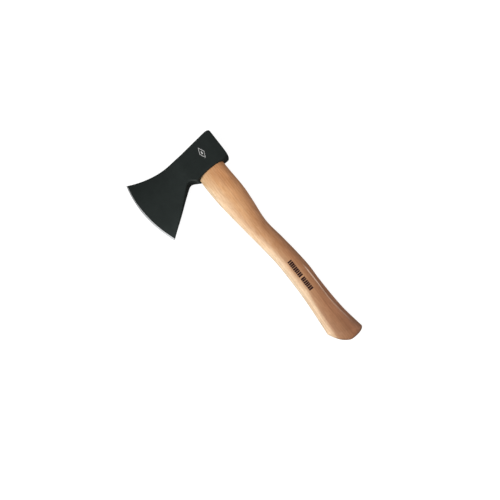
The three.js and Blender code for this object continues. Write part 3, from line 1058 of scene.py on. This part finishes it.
def wedge_wood():
    """Bare hardwood, seen mostly as end grain."""
    n = Nodes("bare_wedge_wood")
    rings = n.rings(n.stretched((1, 0.2, 1), shift=(0.03, 0, 0.02)), 160, 3, 30)
    specks = n.noise(n.stretched((2600, 160, 2600)), 1.0, 3, 0.6)
    tone = n.ramp(rings, (0.0, (0.44, 0.28, 0.15)), (0.8, (0.62, 0.43, 0.25)), (1.0, (0.5, 0.32, 0.18)))
    tone = n.mix(1.0, tone, n.ramp(specks, (0.35, 0.72), (0.65, 1.05)), "MULTIPLY")
    n.link(tone, "Base Color")
    n.link(n.ramp(specks, (0.3, 0.6), (0.7, 0.75)), "Roughness")
    n.link(n.bump(specks, 0.3, 0.0002), "Normal")
    return n.material


def wedge_steel():
    """Plain mild steel, dull from the hammer."""
    n = Nodes("wedge_steel")
    dull = n.noise(n.object_point, 600, 4, 0.6)
    dents = n.noise(n.object_point, 260, 2, 0.4)
    n.link(n.ramp(dull, (0.3, (0.26, 0.26, 0.265)), (0.7, (0.42, 0.42, 0.43))), "Base Color")
    n.link(n.ramp(dull, (0.3, 0.55), (0.7, 0.36)), "Roughness")
    n.set(Metallic=0.4)
    n.link(n.bump(dents, 0.5, 0.0004), "Normal")
    return n.material


def print_ink(name, dark, light):
    """A printed mark, a little uneven in its coverage."""
    n = Nodes(name)
    n.set(Specular_IOR_Level=0.1)
    cover = n.noise(n.object_point, 2200, 3, 0.6)
    n.link(n.ramp(cover, (0.35, dark), (0.6, light)), "Base Color")
    n.link(n.ramp(cover, (0.3, 0.8), (0.7, 0.7)), "Roughness")
    n.link(n.bump(cover, 0.1, 0.00005), "Normal")
    return n.material


def floor_material():
    n = Nodes("pale_floor")
    mottle = n.noise(n.object_point, 2.0, 2)
    n.link(n.ramp(mottle, (0.3, 0.15), (0.7, 0.165)), "Base Color")
    n.set(Roughness=0.9, Specular_IOR_Level=0.0, Emission_Color=(1, 1, 1, 1), Emission_Strength=0.94)
    return n.material


# ---------------------------------------------------------------- the pieces

declare(make_head(), "axe_head", lacquered_steel())
declare(make_handle(), "handle", hickory())
declare(make_wood_wedge(), "wood_wedge", wedge_wood())
declare(make_steel_wedge(), "steel_wedge", wedge_steel())
white_ink = print_ink("white_print", (0.26, 0.26, 0.26), (0.50, 0.50, 0.50))
dark_ink = print_ink("dark_print", (0.022, 0.009, 0.010), (0.012, 0.005, 0.006))
declare(make_cheek_mark(), None, white_ink)
declare(make_handle_marks(), None, dark_ink)

# ---------------------------------------------------------------- floor, light and camera

scene = bpy.context.scene
scene.view_settings.view_transform = "Standard"
scene.view_settings.look = "None"

FLOOR_HALF = 6.0
FLOOR_Z = -0.0002  # just clear of the hatchet
floor_mesh = bpy.data.meshes.new("studio_floor")
floor_points = [(FLOOR_HALF * x, FLOOR_HALF * y, FLOOR_Z) for x, y in SQUARE]
floor_mesh.from_pydata(floor_points, [], [(0, 1, 2, 3)])
floor_mesh.materials.append(floor_material())
floor = new_object("studio_floor", floor_mesh)
floor.visible_glossy = False  # its glare would wash out the sides that face it

world = bpy.data.worlds.new("studio")
scene.world = world
world.use_nodes = True
sky = world.node_tree


def sky_mix(factor, a, b):
    """A number that goes from a to b; either may be another node's output."""
    node = sky.nodes.new("ShaderNodeMix")
    node.data_type = "FLOAT"
    sky.links.new(factor, node.inputs[0])
    for socket, value in ((node.inputs[2], a), (node.inputs[3], b)):
        if isinstance(value, float):
            socket.default_value = value
        else:
            sky.links.new(value, socket)
    return node.outputs[0]


# Soft light from above, hardly any from below, and a white backdrop behind the floor's edge.
LIGHT_ABOVE = 0.26
LIGHT_BELOW = 0.01
BACKDROP = 1.0
height = sky.nodes.new("ShaderNodeSeparateXYZ")
sky.links.new(sky.nodes.new("ShaderNodeTexCoord").outputs["Generated"], height.inputs[0])
above = sky.nodes.new("ShaderNodeMath")
above.operation = "GREATER_THAN"
above.inputs[1].default_value = 0.0
sky.links.new(height.outputs["Z"], above.inputs[0])
seen = sky.nodes.new("ShaderNodeLightPath").outputs["Is Camera Ray"]
strength = sky_mix(seen, sky_mix(above.outputs[0], LIGHT_BELOW, LIGHT_ABOVE), BACKDROP)
sky.links.new(strength, sky.nodes["Background"].inputs["Strength"])
sky.nodes["Background"].inputs["Color"].default_value = (1, 1, 1, 1)


def soft_light(name, direction, distance, size, power, colour=(1, 1, 1)):
    """A large soft light that looks at the middle of the hatchet."""
    light = bpy.data.lights.new(name, "AREA")
    light.shape = "RECTANGLE"
    light.size, light.size_y = size
    light.energy = power
    light.color = colour
    obj = bpy.data.objects.new(name, light)
    scene.collection.objects.link(obj)
    way = Vector(direction).normalized()
    obj.location = way * distance
    obj.rotation_mode = "QUATERNION"
    obj.rotation_quaternion = way.to_track_quat("Z", "Y")
    obj.visible_camera = False
    return obj


def from_side(azimuth_deg, elevation_deg):
    """Direction towards a light; azimuth 180 is the side that the cutting edge faces."""
    a, e = math.radians(azimuth_deg), math.radians(elevation_deg)
    return (math.cos(a) * math.cos(e), math.sin(a) * math.cos(e), math.sin(e))


key = soft_light("key", from_side(185, 44), 1.5, (1.1, 0.9), 33, (1.0, 0.985, 0.96))
fill = soft_light("fill", from_side(-20, 35), 1.6, (1.2, 0.9), 9)
soft_light("sheen", from_side(190, 52), 1.5, (1.3, 1.3), 7.2)
for light in (key, fill):
    light.visible_glossy = False  # only the weak, wide light shows in the varnish and the steel

# The camera looks down from almost straight above, with the head at the upper left.
camera_data = bpy.data.cameras.new("camera")
camera_data.lens = 50
camera_data.sensor_width = 36
camera_data.dof.use_dof = False
camera = bpy.data.objects.new("camera", camera_data)
scene.collection.objects.link(camera)
CAMERA_PLACE = Vector((0.06338, -0.15312, 0.9687))
CAMERA_FORWARD = Vector((-0.04912, 0.15679, -0.98641)).normalized()
CAMERA_UP = Vector((0.61543, 0.7826, 0.09375))
right = CAMERA_FORWARD.cross(CAMERA_UP).normalized()
up = right.cross(CAMERA_FORWARD)
turn = Matrix((right, up, -CAMERA_FORWARD)).transposed()
camera.matrix_world = Matrix.Translation(CAMERA_PLACE) @ turn.to_4x4()
scene.camera = camera
